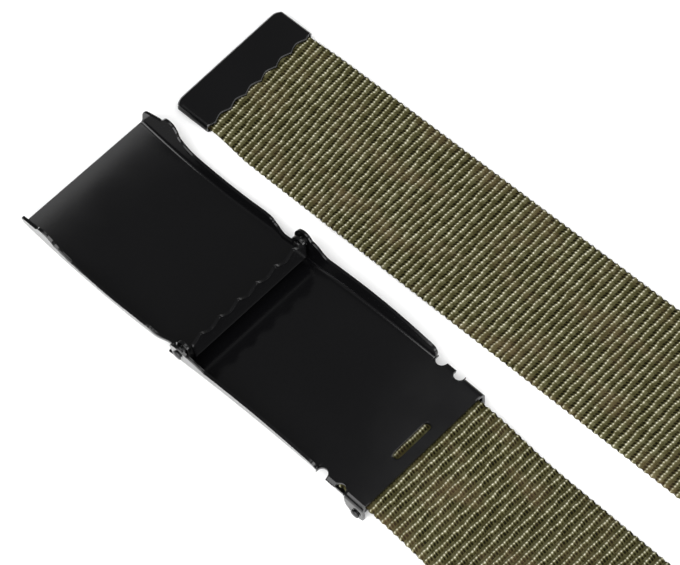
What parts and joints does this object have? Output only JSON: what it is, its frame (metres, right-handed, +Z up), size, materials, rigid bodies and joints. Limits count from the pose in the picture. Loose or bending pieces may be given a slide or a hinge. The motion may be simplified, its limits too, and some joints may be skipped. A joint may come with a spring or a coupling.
{
  "type": "canvas web belt with flip-top buckle",
  "caption": "Flat woven web belt laid out doubled, with an open flip-top metal buckle clamped on one end and a folded metal tip on the other.",
  "frame": {"origin": "on the surface that the belt lies on, under the middle of the space it takes", "axes": "+X along the strap, away from the buckle and the tip, towards the folds; +Y from the buckle's side to the tip's side; +Z up"},
  "size_m": [0.6756, 0.1056, 0.0125],
  "materials": {
    "painted_steel": "satin black paint",
    "dark_rivet": "blackened steel, slightly brighter than the sheet",
    "canvas_webbing": "ribbed olive canvas webbing"
  },
  "bodies": {
    "belt": {"base_frame": "painted_steel", "hinge_rivet_near": "dark_rivet", "hinge_rivet_far": "dark_rivet", "clamp_jaw": "painted_steel", "clamp_pin": "dark_rivet", "strap": "canvas_webbing", "belt_tip": "painted_steel"},
    "lid": {"lid": "painted_steel"}
  },
  "joints": [
    {"name": "lid_hinge", "type": "hinge", "parent": "belt", "child": "lid", "pos_m": [-0.28142, -0.03038, 0.0075], "axis": [0, 1, 0], "range_deg": [0, 177]}
  ]
}
